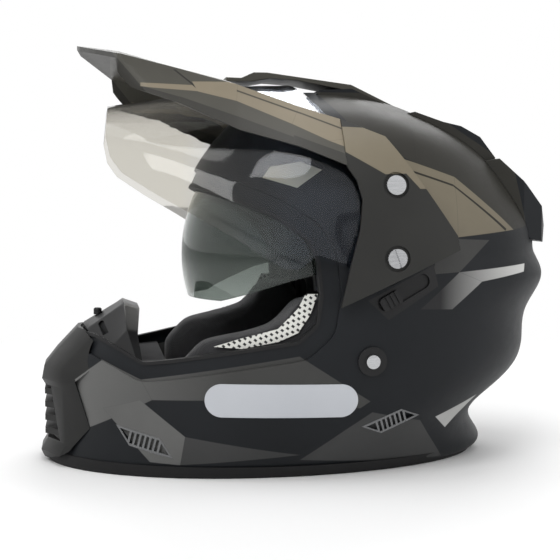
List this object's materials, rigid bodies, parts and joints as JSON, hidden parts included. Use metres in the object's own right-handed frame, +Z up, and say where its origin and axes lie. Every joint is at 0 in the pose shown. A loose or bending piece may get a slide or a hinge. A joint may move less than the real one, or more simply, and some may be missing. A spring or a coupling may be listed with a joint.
{
  "type": "dual sport helmet",
  "caption": "Full face helmet with a long faceted peak, a clear face shield swung up under it, a smoked drop-down sun visor, chin grille and buckled chin strap.",
  "frame": {"origin": "centre of the bounding box on the plane that the base trim stands on", "axes": "-X towards the face, -Y towards the wearer's left side, +Z up"},
  "size_m": [0.378, 0.2652, 0.3],
  "materials": {
    "shell_black": "matt",
    "guard_black": "matt",
    "pod_black": "satin",
    "peak_olive": "satin",
    "trim_black": "satin",
    "rubber_trim": "matt",
    "clear_shield": "polished",
    "smoked_lens": "polished",
    "foam_grey": "matt",
    "lining_fabric": "matt",
    "strip_white": "matt",
    "strap_black": "matt",
    "grille_silver": "satin",
    "reflective_silver": "satin",
    "steel": "satin",
    "lever_red": "gloss"
  },
  "bodies": {
    "helmet": {"outer_shell": "shell_black", "eyeport_gasket": "rubber_trim", "base_trim": "rubber_trim", "mouth_guard": "guard_black", "chin_grille": "guard_black", "nose_piece": "trim_black", "visor_peak": "peak_olive", "peak_bridge": "peak_olive", "crown_block": "shell_black", "rear_exhaust": "shell_black", "rear_tail": "shell_black", "sun_visor_pins": "trim_black", "foam_crown": "foam_grey", "comfort_lining": "lining_fabric", "foam_chin": "foam_grey", "neck_roll": "lining_fabric", "slider_track": "trim_black", "buckle_body": "trim_black", "buckle_tongue": "steel", "side_pod_left": "pod_black", "pod_boss_left": "trim_black", "pod_screws_left": "steel", "chin_side_grille_left": "grille_silver", "rear_side_grille_left": "grille_silver", "reflective_patch_left": "reflective_silver", "cheek_pad_left": "lining_fabric", "cheek_strip_left": "strip_white", "strap_rivet_left": "steel", "rivet_ring_left": "trim_black", "chin_strap_left": "strap_black", "shield_hub_left": "trim_black", "side_pod_right": "pod_black", "pod_boss_right": "trim_black", "pod_screws_right": "steel", "chin_side_grille_right": "grille_silver", "rear_side_grille_right": "grille_silver", "reflective_patch_right": "reflective_silver", "cheek_pad_right": "lining_fabric", "cheek_strip_right": "strip_white", "strap_rivet_right": "steel", "rivet_ring_right": "trim_black", "chin_strap_right": "strap_black", "shield_hub_right": "trim_black"},
    "chin_vent": {"chin_vent_knob": "trim_black"},
    "shield": {"face_shield": "clear_shield"},
    "sun_visor": {"sun_visor": "smoked_lens"},
    "visor_slider": {"sun_visor_slider": "trim_black"},
    "lever": {"buckle_lever": "lever_red"}
  },
  "joints": [
    {"name": "shield_pivot", "type": "hinge", "parent": "helmet", "child": "shield", "pos_m": [0.039, 0, 0.15], "axis": [0, 1, 0], "range_deg": [-42.5, 0]},
    {"name": "sun_visor_pivot", "type": "hinge", "parent": "helmet", "child": "sun_visor", "pos_m": [0.025, 0, 0.148], "axis": [0, 1, 0], "range_deg": [0, 45]},
    {"name": "visor_slider_slide", "type": "slide", "parent": "helmet", "child": "visor_slider", "axis": [0.8713, 0.0872, 0.483], "range_m": [0, 0.022]},
    {"name": "chin_vent_slide", "type": "slide", "parent": "helmet", "child": "chin_vent", "axis": [0, 1, 0], "range_m": [-0.003, 0.003]},
    {"name": "buckle_lever_hinge", "type": "hinge", "parent": "helmet", "child": "lever", "pos_m": [0.032, -0.019, 0.0226], "axis": [-1, 0, 0], "range_deg": [0, 35], "stiffness_Nm_per_rad": 0.02}
  ],
  "couplings": [
    {"joint": "visor_slider_slide", "follows": "sun_visor_pivot", "m_per_rad": 0.028}
  ]
}
